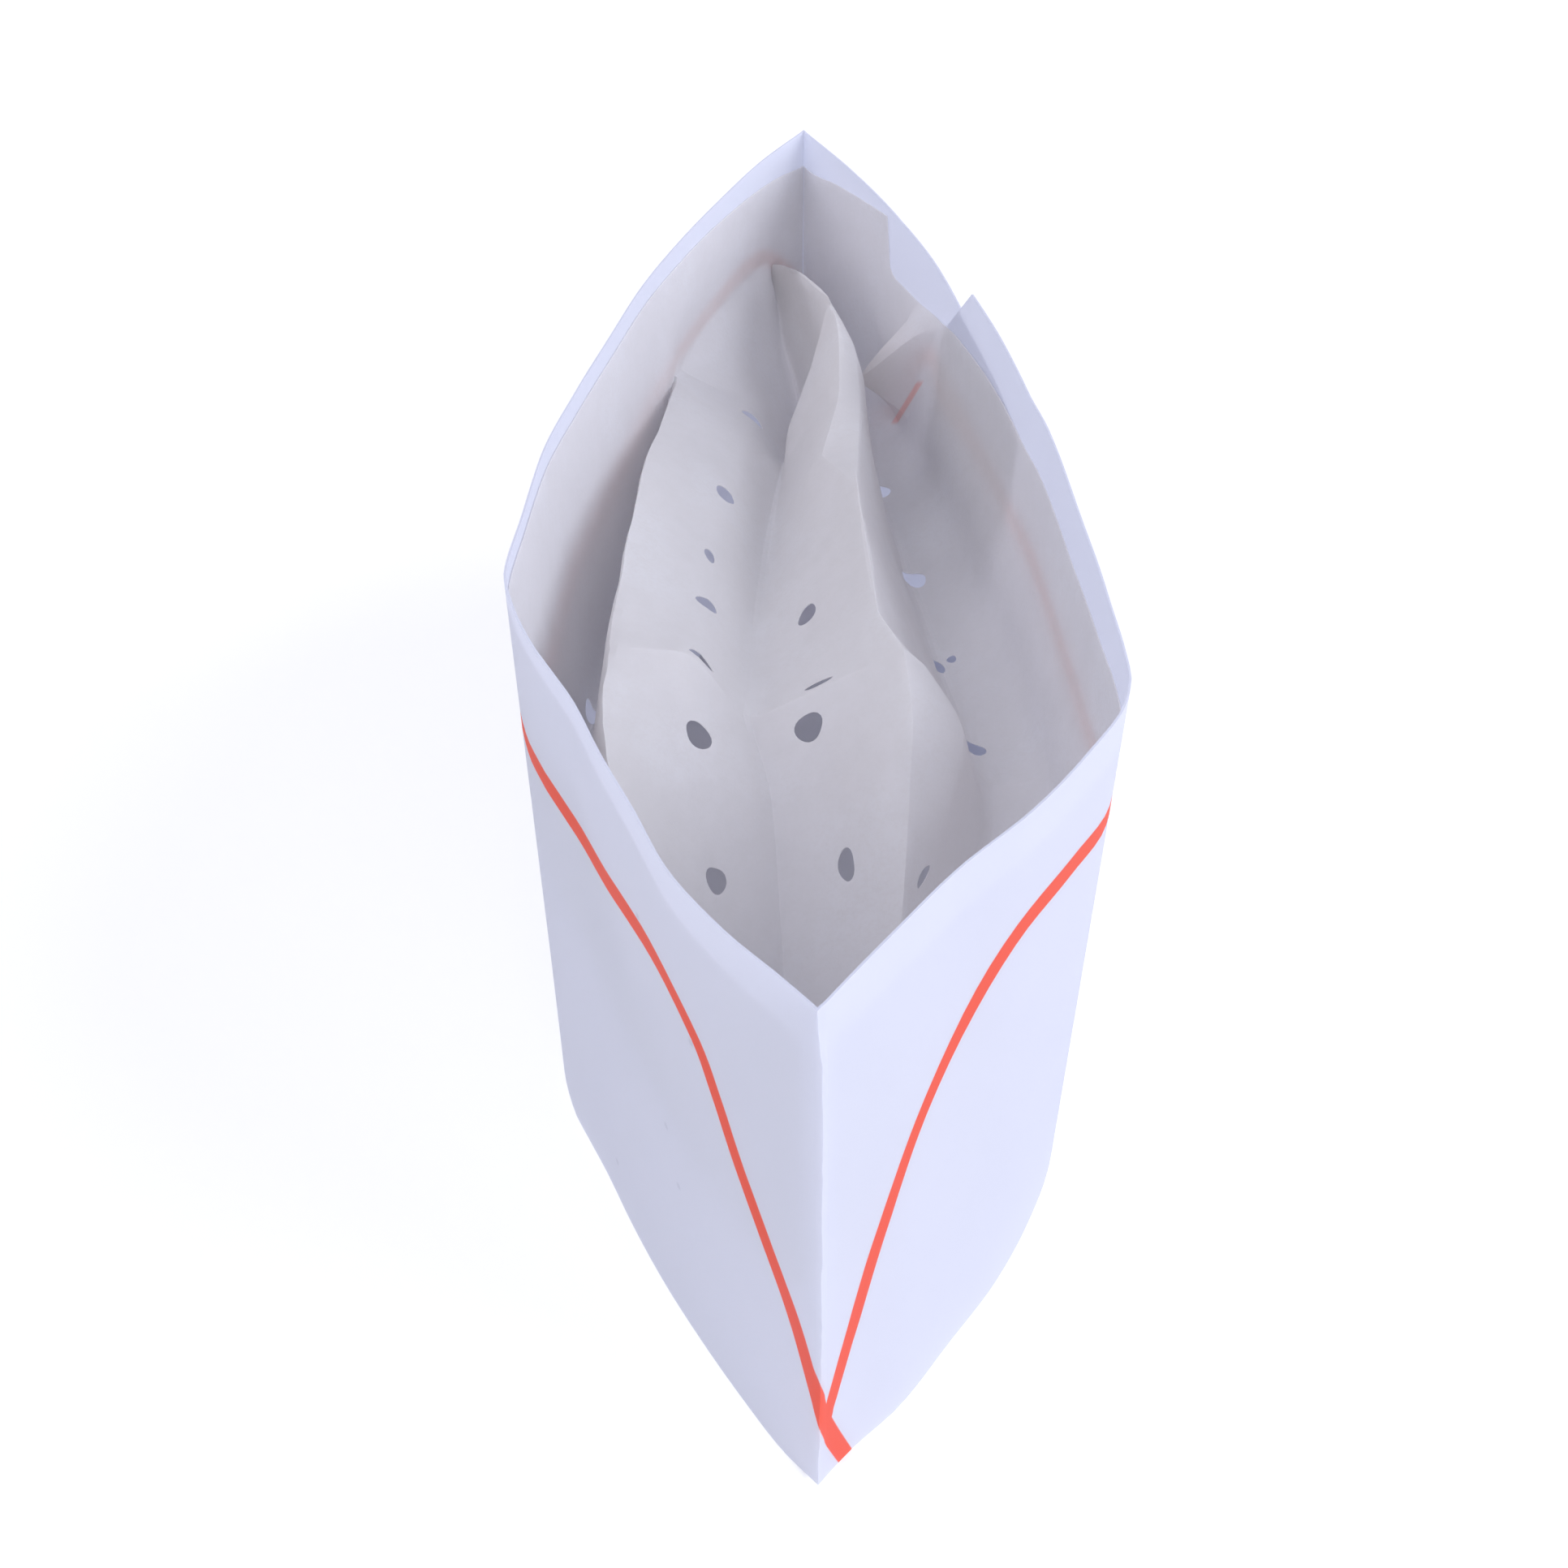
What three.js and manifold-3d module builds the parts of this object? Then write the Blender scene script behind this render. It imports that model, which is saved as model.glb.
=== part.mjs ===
// A paper hat of the kind worn in kitchens and at soda fountains. A band of stiff white paper is
// folded sharply at the front and at the back, and a crown of thin tissue, pierced with air holes,
// is glued inside the band and tucked down between its walls in long pleats.
// Millimetres, +Z up, the front fold towards -Y. The hat stands on the rim of its band.

import * as THREE from "three";
import { mergeVertices } from "three/addons/utils/BufferGeometryUtils.js";
import Module from "manifold-3d";

// Driving dimensions
const LENGTH = 262; // front fold to back fold
const HEIGHT = 104; // rim to top edge
const PAPER = 1; // thickness of the band's paper
const TISSUE = 1; // thickness of the crown
const GAP = 0.3; // clear space between two layers
const STEP = 4; // distance between two sections along the hat
const MITRE = 0.55; // cosine of half the sharpest turn that still keeps its full thickness
const WELD = 1e-4; // points closer than this are one point

// The band's overlap, as distances back from the front fold
const INNER_END = 201; // where the inner end of the strip stops
const INNER_CORNER = 187; // where its top corner starts to slope down
const INNER_END_HEIGHT = 96.5; // height of that end once the corner is cut
const OUTER_END = 152; // where the outer end stops, outside the inner one
const OUTER_DROP = 0.13; // how fast the outer end's top edge falls away from the back fold
const TUCK_START = 138; // where the inner layer starts to step inwards
const TUCK_LENGTH = 12; // how long it takes to do so

// The crown runs from just behind the front fold to just before the back fold
const CROWN_FRONT = 12;
const CROWN_BACK = 252;

// Air holes punched in the crown
const VENT = 4.8; // diameter
const VENT_SIDES = 8;
const VENT_DEPTH = 4; // length of the punch

// Gives rows of numbers the names of their columns.
function table(columns, rows) {
  return rows.map((row) => Object.fromEntries(row.map((value, i) => [columns[i], value])));
}

// Plan of the walls. At a distance y back from the front fold, each row says how far the outer face
// lies from the centre plane, for the left and the right wall, at the top edge and at the foot.
const WALLS = table(["y", "leftTop", "leftFoot", "rightTop", "rightFoot"], [
  [0, 1, 2, 1, 2],
  [6, -4, -3.4, 5.2, 7],
  [14, -11, -8.9, 11, 15],
  [26, -19, -16.4, 20, 23.6],
  [38, -24, -23.2, 31, 32],
  [50, -29.3, -29.1, 39.6, 38.3],
  [62, -34, -34.4, 46.2, 43],
  [76, -41, -41, 47, 45.3],
  [86, -45, -43.6, 46.9, 45.6],
  [95, -47, -44.6, 46.3, 45.4],
  [110, -45.8, -44.3, 44.8, 44.4],
  [130, -44.1, -42.8, 43.1, 42.8],
  [150, -40.1, -39.3, 40.4, 40.3],
  [170, -35.3, -35.2, 37, 37],
  [190, -30.3, -30.3, 32.3, 32.2],
  [210, -23.5, -23.8, 27.2, 26],
  [230, -15.4, -16.2, 19.2, 18],
  [246, -8.2, -8.8, 11, 10],
  [262, 1, 1, 1, 1],
]);

// The crown's folds, from the left wall to the right one. A fold with a side keeps to that wall, and
// its rows give the distance y back from the front fold, how far in from the wall it hangs, and its
// height. Any other fold gives its place from the centre plane instead.
const IN = ["y", "in", "z"];
const AT = ["y", "x", "z"];
const FOLDS = [
  { name: "left seam", side: -1, rows: table(IN, [
    [12, 0, 97], [60, 0, 100], [110, 0, 101.5], [140, 0, 100.6], [216, 0, 100], [252, 0, 97],
  ]) },
  { name: "left hang", side: -1, rows: table(IN, [
    [12, 0, 78], [60, 1.5, 76], [110, 2.5, 76], [150, 2.5, 78], [190, 1, 84], [215, 0.3, 91],
    [252, 0, 88],
  ]) },
  { name: "left trough", side: -1, rows: table(IN, [
    [12, 0.8, 47], [30, 1.5, 44], [60, 4, 43], [78, 6, 44], [100, 7, 45], [130, 7, 47],
    [160, 6, 54], [190, 3, 70], [205, 1.2, 80], [216, 0.3, 85], [244, 0, 82], [252, 0, 78],
  ]) },
  { name: "left ridge", rows: table(AT, [
    [12, -3.6, 46], [28, -12.5, 54], [42, -20, 66], [55, -26.5, 81], [64, -29.6, 88],
    [78, -32.1, 89.5], [93, -31.2, 90], [112, -30.8, 89.5], [131, -30.2, 89], [164, -27.1, 88],
    [190, -23.8, 85.5], [205, -20.8, 83.5], [220, -17.6, 82], [244, -6.6, 78], [252, -2.4, 72],
  ]) },
  { name: "left slope", rows: table(AT, [
    [12, -1.5, 45], [40, -9, 50], [57, -13.5, 61], [66, -14.5, 67.5], [83, -16.4, 81],
    [93, -17.9, 89], [104, -17, 85], [117, -16.1, 82], [134, -16.2, 80.5], [157, -14.2, 78],
    [199, -9.2, 70], [225, -8, 67], [244, -6, 77], [252, -1.8, 70],
  ]) },
  { name: "valley", rows: table(AT, [
    [12, 0, 43], [40, -2, 43], [52, -2.8, 45], [60, -3.4, 50], [82, -5.3, 66], [92, -7, 74],
    [94, -9, 75], [100, -8.8, 75], [123, -7.9, 72], [150, -6.6, 67], [184, -3.6, 65],
    [200, -1.5, 57], [212, 0.5, 53], [225, 1, 53], [232, -0.5, 58], [240, -3, 67],
    [246, -5, 77], [252, -1, 67],
  ]) },
  { name: "lip", rows: table(AT, [
    [12, 1.2, 43.5], [40, 2, 45], [60, 3.5, 55], [82, 3, 70.5], [93, 0.3, 82], [104, -1.5, 79],
    [123, -2.8, 76.3], [150, -2.4, 72.3], [184, -2.8, 68], [192, -2.7, 70], [200, -0.1, 75],
    [206, 2.4, 80], [213, 5, 86.5], [220, 4.2, 76], [228, 2.8, 72], [240, -1.8, 74],
    [246, -4.4, 79.5], [252, -0.3, 64],
  ]) },
  { name: "crest", rows: table(AT, [
    [12, 2.6, 44.5], [30, 10, 47], [45, 13.5, 54], [60, 15.2, 65], [67, 15.9, 70.5],
    [76, 16.6, 78], [81, 17, 84], [94, 16, 90], [104, 12.3, 90.3], [126, 11, 89.2],
    [149, 9.9, 88], [167, 10.3, 88.5], [191, 11, 89], [205, 8.7, 89], [218, 5.7, 88],
    [231, 0.8, 86], [246, -4.3, 82], [252, 0.3, 62],
  ]) },
  { name: "shoulder", rows: table(AT, [
    [12, 3.6, 44], [30, 12, 46], [45, 16, 51], [60, 17.5, 56], [70, 19.2, 62], [80, 23.3, 70],
    [88, 25.6, 76], [94, 19.7, 86], [104, 14.5, 85.5], [126, 12.6, 84], [149, 11.6, 83],
    [191, 12.4, 83.5], [218, 7.5, 82], [231, 3.2, 79], [246, -2.8, 74], [252, 1.4, 59],
  ]) },
  { name: "right trough", rows: table(AT, [
    [12, 5, 45.5], [25, 12, 44], [40, 19, 44], [60, 25, 45], [75, 28, 48], [88, 30.5, 54],
    [98, 30, 57], [109, 28.5, 54], [140, 24, 49], [170, 19.5, 48], [200, 15, 50],
    [215, 14.5, 54], [232, 13, 57], [238, 11, 54], [246, 6, 46], [252, 3.2, 50],
  ]) },
  { name: "right hang", side: 1, rows: table(IN, [
    [12, 0.5, 60], [25, 1, 52], [60, 3, 50], [80, 4, 52], [98, 5, 57], [110, 5, 55],
    [140, 5, 53], [178, 4.6, 52], [219, 2.1, 56], [230, 1.5, 62], [238, 1, 68], [252, 0.4, 72],
  ]) },
  { name: "right seam", side: 1, rows: table(IN, [
    [12, 0, 96], [70, 0, 97], [100, 0, 94.5], [130, 0, 92], [160, 0, 90.5], [187, 0, 90],
    [204, 0, 89.5], [229, 0, 85.4], [234, 0, 97.5], [248, 0, 98], [252, 0, 97],
  ]) },
];

// How many strips the crown is divided into between each fold and the next
const STRIPS = [1, 2, 2, 1, 1, 1, 1, 1, 2, 1, 2];

// Air holes: the fold on their left, how far across to the next fold, and how far back they lie.
const VENTS = table(["fold", "across", "y"], [
  ["left hang", 0.55, 91],
  ["left hang", 0.55, 122],
  ["left hang", 0.55, 153],
  ["left slope", 0.05, 65],
  ["left slope", 0, 83],
  ["left slope", 0.2, 98],
  ["left slope", 0, 118],
  ["left slope", 0, 135],
  ["left slope", 0, 159],
  ["left slope", 0.05, 200],
  ["lip", 0.15, 71],
  ["valley", 0.9, 88],
  ["lip", 0.2, 118],
  ["shoulder", 0.1, 70],
  ["right trough", 0.22, 111],
  ["right trough", 0.25, 141],
  ["right trough", 0.35, 171],
  ["right trough", 0.3, 201],
]);

// Slope of a column at one row, flattened where the column turns, so that a curve never overshoots.
function slopeAt(rows, column, i) {
  const rise = (k) => (rows[k + 1][column] - rows[k][column]) / (rows[k + 1].y - rows[k].y);
  if (i === 0) return rise(0);
  if (i === rows.length - 1) return rise(i - 1);
  const before = rise(i - 1);
  const after = rise(i);
  return before * after <= 0 ? 0 : (2 * before * after) / (before + after);
}

// Smooth value of a column at a distance y back from the front fold.
function sample(rows, column, y) {
  const last = rows.length - 1;
  const inside = THREE.MathUtils.clamp(y, rows[0].y, rows[last].y);
  const i = Math.min(last - 1, rows.findLastIndex((row) => row.y <= inside));
  const span = rows[i + 1].y - rows[i].y;
  const t = (inside - rows[i].y) / span;
  const start = rows[i][column] * (1 + 2 * t) + span * t * slopeAt(rows, column, i);
  const end = rows[i + 1][column] * (3 - 2 * t) - span * (1 - t) * slopeAt(rows, column, i + 1);
  return start * (1 - t) ** 2 + end * t ** 2;
}

// Outer face of a wall, side -1 left and 1 right: walls are straight from foot to top edge.
function wallX(side, y, z) {
  const name = side < 0 ? "left" : "right";
  return THREE.MathUtils.lerp(sample(WALLS, `${name}Foot`, y), sample(WALLS, `${name}Top`, y), z / HEIGHT);
}

// How far the inner layer of the overlap lies inside the outer one.
function tuckIn(y) {
  const inwards = THREE.MathUtils.smoothstep(y, TUCK_START, TUCK_START + TUCK_LENGTH);
  const back = THREE.MathUtils.smoothstep(y, INNER_END, INNER_END + TUCK_LENGTH);
  return (PAPER + GAP) * (inwards - back);
}

// Face that lies the given depth inside a wall's outer face, measured square to the wall.
function insideX(side, y, z, depth) {
  const near = 0.5;
  const slope = (wallX(side, y + near, z) - wallX(side, y - near, z)) / (2 * near);
  return wallX(side, y, z) - side * depth * Math.hypot(1, slope);
}

// Distances back from the front fold at which the hat is cut into sections.
function stations(from, to) {
  const count = Math.round(LENGTH / STEP);
  const all = Array.from({ length: count + 1 }, (_, i) => (i * LENGTH) / count);
  const clear = STEP / 3;
  return [from, ...all.filter((y) => y > from + clear && y < to - clear), to];
}

// A closed sheet between two grids of points: its face, its back and a rim all round.
function sheetGeometry(face, back) {
  const rows = face.length;
  const columns = face[0].length;
  const last = columns - 1;
  const positions = [...face.flat(), ...back.flat()].flatMap((p) => [p.x, p.y, p.z]);
  const front = (i, j) => i * columns + j;
  const rear = (i, j) => rows * columns + i * columns + j;
  const index = [];
  const quad = (a, b, c, d) => index.push(a, b, c, a, c, d);
  for (let i = 0; i < rows - 1; i++) {
    for (let j = 0; j < last; j++) {
      quad(front(i, j), front(i, j + 1), front(i + 1, j + 1), front(i + 1, j));
      quad(rear(i, j), rear(i + 1, j), rear(i + 1, j + 1), rear(i, j + 1));
    }
  }
  for (let i = 0; i < rows - 1; i++) {
    quad(front(i, 0), front(i + 1, 0), rear(i + 1, 0), rear(i, 0));
    quad(front(i + 1, last), front(i, last), rear(i, last), rear(i + 1, last));
  }
  for (let j = 0; j < last; j++) {
    quad(front(0, j + 1), front(0, j), rear(0, j), rear(0, j + 1));
    quad(front(rows - 1, j), front(rows - 1, j + 1), rear(rows - 1, j + 1), rear(rows - 1, j));
  }
  const geometry = new THREE.BufferGeometry();
  geometry.setAttribute("position", new THREE.Float32BufferAttribute(positions, 3));
  geometry.setIndex(index);
  return geometry;
}

// Route of the band's strip: from its inner end on the right, forwards round the front fold, back
// along the left wall, round the back fold and forwards again to its outer end.
function bandRoute() {
  const inner = stations(0, INNER_END).reverse();
  const cornerAt = inner.findIndex((y) => y < INNER_CORNER);
  inner.splice(cornerAt, 0, INNER_CORNER);
  const left = stations(0, LENGTH).slice(1);
  const outer = stations(OUTER_END, LENGTH).reverse().slice(1);
  const cut = (y) => THREE.MathUtils.clamp((y - INNER_CORNER) / (INNER_END - INNER_CORNER), 0, 1);
  const innerTop = (y) => HEIGHT - (HEIGHT - INNER_END_HEIGHT) * cut(y);
  const outerTop = (y) => HEIGHT - OUTER_DROP * (LENGTH - y);
  return [
    ...inner.map((y) => ({ side: 1, y, depth: tuckIn(y), top: innerTop(y) })),
    ...left.map((y) => ({ side: -1, y, depth: 0, top: HEIGHT })),
    ...outer.map((y) => ({ side: 1, y, depth: 0, top: outerTop(y) })),
  ];
}

// The line that lies a distance to the left of a line in plan, with its corners mitred.
function offsetLine(line, distance) {
  return line.map((point, i) => {
    const before = line[Math.max(i - 1, 0)];
    const after = line[Math.min(i + 1, line.length - 1)];
    const into = new THREE.Vector2(point.x - before.x, point.y - before.y).normalize();
    const out = new THREE.Vector2(after.x - point.x, after.y - point.y).normalize();
    const along = into.clone().add(out).normalize();
    const stretch = distance / Math.max(along.dot(into), along.dot(out), MITRE);
    return new THREE.Vector3(point.x - along.y * stretch, point.y + along.x * stretch, point.z);
  });
}

// The band: one strip of paper, upright all round.
function bandGeometry() {
  const route = bandRoute();
  const levels = [0, 0.5, 1];
  const outer = levels.map((level) => route.map(({ side, y, depth, top }) => (
    new THREE.Vector3(insideX(side, y, level * top, depth), y - LENGTH / 2, level * top))));
  const inner = outer.map((line) => offsetLine(line, -PAPER));
  return sheetGeometry(inner, outer);
}

// Place of one fold of the crown at a distance y back from the front fold.
function foldPoint({ side, rows }, y) {
  const z = sample(rows, "z", y);
  const against = PAPER + GAP + TISSUE / 2 + (side > 0 ? tuckIn(y) : 0);
  const x = side ? insideX(side, y, z, against + sample(rows, "in", y)) : sample(rows, "x", y);
  return new THREE.Vector3(x, y - LENGTH / 2, z);
}

// One section across the crown, from seam to seam.
function crownSection(y) {
  const folds = FOLDS.map((fold) => foldPoint(fold, y));
  const section = [folds[0]];
  STRIPS.forEach((count, i) => {
    for (let k = 1; k <= count; k++) section.push(folds[i].clone().lerp(folds[i + 1], k / count));
  });
  return section;
}

// Direction square to a grid of points at one of them, long enough to keep the sheet's thickness.
function gridNormal(grid, i, j) {
  const rows = grid.length - 1;
  const columns = grid[0].length - 1;
  const here = grid[i][j];
  const along = grid[Math.min(i + 1, rows)][j].clone().sub(grid[Math.max(i - 1, 0)][j]);
  const sides = [];
  if (j > 0) sides.push(here.clone().sub(grid[i][j - 1]));
  if (j < columns) sides.push(grid[i][j + 1].clone().sub(here));
  const faces = sides.map((across) => across.cross(along).normalize());
  const normal = faces.reduce((sum, face) => sum.add(face), new THREE.Vector3()).normalize();
  return normal.multiplyScalar(1 / Math.max(normal.dot(faces[0]), MITRE));
}

// The crown before its air holes are punched.
function crownGeometry() {
  const middle = stations(CROWN_FRONT, CROWN_BACK).map(crownSection);
  const shifted = (distance) => middle.map((section, i) => (
    section.map((point, j) => point.clone().addScaledVector(gridNormal(middle, i, j), distance))));
  return sheetGeometry(shifted(TISSUE / 2), shifted(-TISSUE / 2));
}

// A round punch for one air hole, set square to the crown there.
function ventGeometry({ fold, across, y }) {
  const left = FOLDS.findIndex(({ name }) => name === fold);
  const place = (back) => foldPoint(FOLDS[left], back).lerp(foldPoint(FOLDS[left + 1], back), across);
  const before = Math.max(left - (across === 0 ? 1 : 0), 0);
  const side = foldPoint(FOLDS[left + 1], y).sub(foldPoint(FOLDS[before], y));
  const normal = side.cross(place(y + 1).sub(place(y - 1))).normalize();
  const punch = new THREE.CylinderGeometry(VENT / 2, VENT / 2, VENT_DEPTH, VENT_SIDES);
  punch.applyQuaternion(new THREE.Quaternion().setFromUnitVectors(new THREE.Vector3(0, 1, 0), normal));
  const centre = place(y);
  return punch.translate(centre.x, centre.y, centre.z);
}

const wasm = await Module();
wasm.setup();

function toSolid(geometry) {
  const bare = geometry.clone();
  bare.deleteAttribute("normal");
  bare.deleteAttribute("uv");
  const merged = mergeVertices(bare, WELD);
  return new wasm.Manifold(new wasm.Mesh({
    numProp: 3,
    vertProperties: merged.attributes.position.array,
    triVerts: new Uint32Array(merged.index.array),
  }));
}

function toGeometry(solid) {
  const mesh = solid.getMesh();
  const geometry = new THREE.BufferGeometry();
  geometry.setAttribute("position", new THREE.BufferAttribute(new Float32Array(mesh.vertProperties), 3));
  geometry.setIndex(Array.from(mesh.triVerts));
  geometry.computeVertexNormals();
  return geometry;
}

function named(name, geometry, material) {
  const mesh = new THREE.Mesh(geometry, new THREE.MeshStandardMaterial(material));
  mesh.name = name;
  return mesh;
}

const band = toSolid(bandGeometry());
const punches = VENTS.map((vent) => toSolid(ventGeometry(vent)));
const crown = punches.reduce((tissue, punch) => tissue.subtract(punch), toSolid(crownGeometry()));

const whitePaper = { color: 0xe3e5f4, roughness: 0.75, metalness: 0 };
const whiteTissue = { color: 0xc8c8d2, roughness: 0.9, metalness: 0 };
const hat = new THREE.Group();
hat.add(named("paper_band", toGeometry(band), whitePaper));
hat.add(named("tissue_crown", toGeometry(crown), whiteTissue));

export default hat;
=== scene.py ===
import bisect
import bpy
import math
from collections import namedtuple
from mathutils import Matrix, Vector, noise

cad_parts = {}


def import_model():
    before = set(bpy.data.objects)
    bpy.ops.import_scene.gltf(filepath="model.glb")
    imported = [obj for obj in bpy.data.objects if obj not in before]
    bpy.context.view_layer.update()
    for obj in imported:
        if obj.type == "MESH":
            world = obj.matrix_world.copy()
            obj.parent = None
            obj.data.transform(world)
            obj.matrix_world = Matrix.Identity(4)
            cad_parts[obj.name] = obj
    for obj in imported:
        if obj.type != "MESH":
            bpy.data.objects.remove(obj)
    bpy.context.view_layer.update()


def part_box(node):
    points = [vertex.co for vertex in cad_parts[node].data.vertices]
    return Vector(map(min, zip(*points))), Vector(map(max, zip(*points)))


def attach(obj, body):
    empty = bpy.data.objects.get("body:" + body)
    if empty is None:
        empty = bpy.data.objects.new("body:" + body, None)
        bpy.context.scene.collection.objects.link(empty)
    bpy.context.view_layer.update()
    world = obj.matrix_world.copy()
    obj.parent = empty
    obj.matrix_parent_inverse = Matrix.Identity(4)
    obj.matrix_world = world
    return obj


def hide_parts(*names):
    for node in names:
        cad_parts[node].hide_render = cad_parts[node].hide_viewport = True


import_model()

# A paper hat: a folded band of stiff white paper with a printed line, and a crown of thin pierced
# tissue tucked down inside it. Tables are in millimetres, meshes and materials in metres.

bpy.ops.object.select_all(action="DESELECT")

MM = 0.001
BAND_LOW, BAND_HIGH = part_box("paper_band")
LENGTH = (BAND_HIGH.y - BAND_LOW.y) / MM
HEIGHT = (BAND_HIGH.z - BAND_LOW.z) / MM

# Thicknesses and clear spaces of the real sheets
PAPER = 0.35
TISSUE = 0.16
GAP = 0.2

# The band's overlap, as distances back from the front fold
INNER_END = 201
INNER_CORNER = 187
INNER_CHAMFER = 196
INNER_CHAMFER_HEIGHT = 99
INNER_END_HEIGHT = 91
OUTER_END = 152
OUTER_DROP = 0.095
TUCK_START = 138
TUCK_LENGTH = 12

# The crown's reach, how far apart its sections lie, and the crease that runs right across it
CROWN_FRONT = 3
CROWN_BACK = 260.6
CROWN_STEP = 1.5
CROSS_CREASE = 94
CREASE_REACH = 3

# The flat strip's faces along and up it, and the lines beside each fold that it is scored on
STRIP_COLUMNS = 210
STRIP_ROWS = 52
SCORES = (-1.6, -1, -0.5, 0, 0.5, 1.1)

# The worn front fold: how far it bulges to one side, and how far it strays in long and short waves
FOLD_BULGE = 0.55
FOLD_WAVE = 0.3
FOLD_NICKS = 0.16

# Dents in the tissue: their size and their height, for the wide and the narrow ones
WIDE_DENT = 17
WIDE_DENT_HEIGHT = 0.55
NARROW_DENT = 5.5
NARROW_DENT_HEIGHT = 0.14

# The punches that cut the air holes, and the angles in degrees up to which the sheets look smooth
PUNCH_SIDES = 22
PUNCH_DEPTH = 5
BAND_SMOOTH = 22
CROWN_SMOOTH = 17

Wall = namedtuple("Wall", "y left_top left_foot right_top right_foot sharp", defaults=(0,))
Fold = namedtuple("Fold", "name side strips front_round back_round rows")
Place = namedtuple("Place", "y x z sharp", defaults=(0,))

# Plan of the walls: at a distance y back from the front fold, how far the outer face lies from the
# centre plane, for the left and the right wall, at the top edge and at the foot.
WALLS = [Wall(*row) for row in (
    (0, 1, 2, 1, 2),
    (6, -4, -3.4, 5.2, 7),
    (14, -11, -8.9, 11, 15),
    (26, -19, -16.4, 20, 23.6),
    (38, -24, -23.2, 31, 32),
    (50, -29.3, -29.1, 39.6, 38.3),
    (62, -34, -34.4, 46.4, 43),
    (69, -37.6, -37.8, 47.8, 44.6),
    (76, -41.2, -41, 47.6, 45.3),
    (86, -45, -43.6, 46.9, 45.6),
    (95, -47, -44.6, 46.3, 45.4),
    (110, -45.8, -44.3, 44.9, 44.4),
    (130, -44.1, -42.8, 43.1, 42.8),
    (150, -40.1, -39.3, 40.4, 40.3),
    (170, -35.3, -35.2, 37, 37),
    (190, -30.3, -30.3, 32.3, 32.2),
    (210, -23.5, -23.8, 27.2, 26),
    (230, -15.4, -16.2, 19.2, 18),
    (246, -8.2, -8.8, 11, 10),
    (262, 1, 1, 1, 1),
)]

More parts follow.
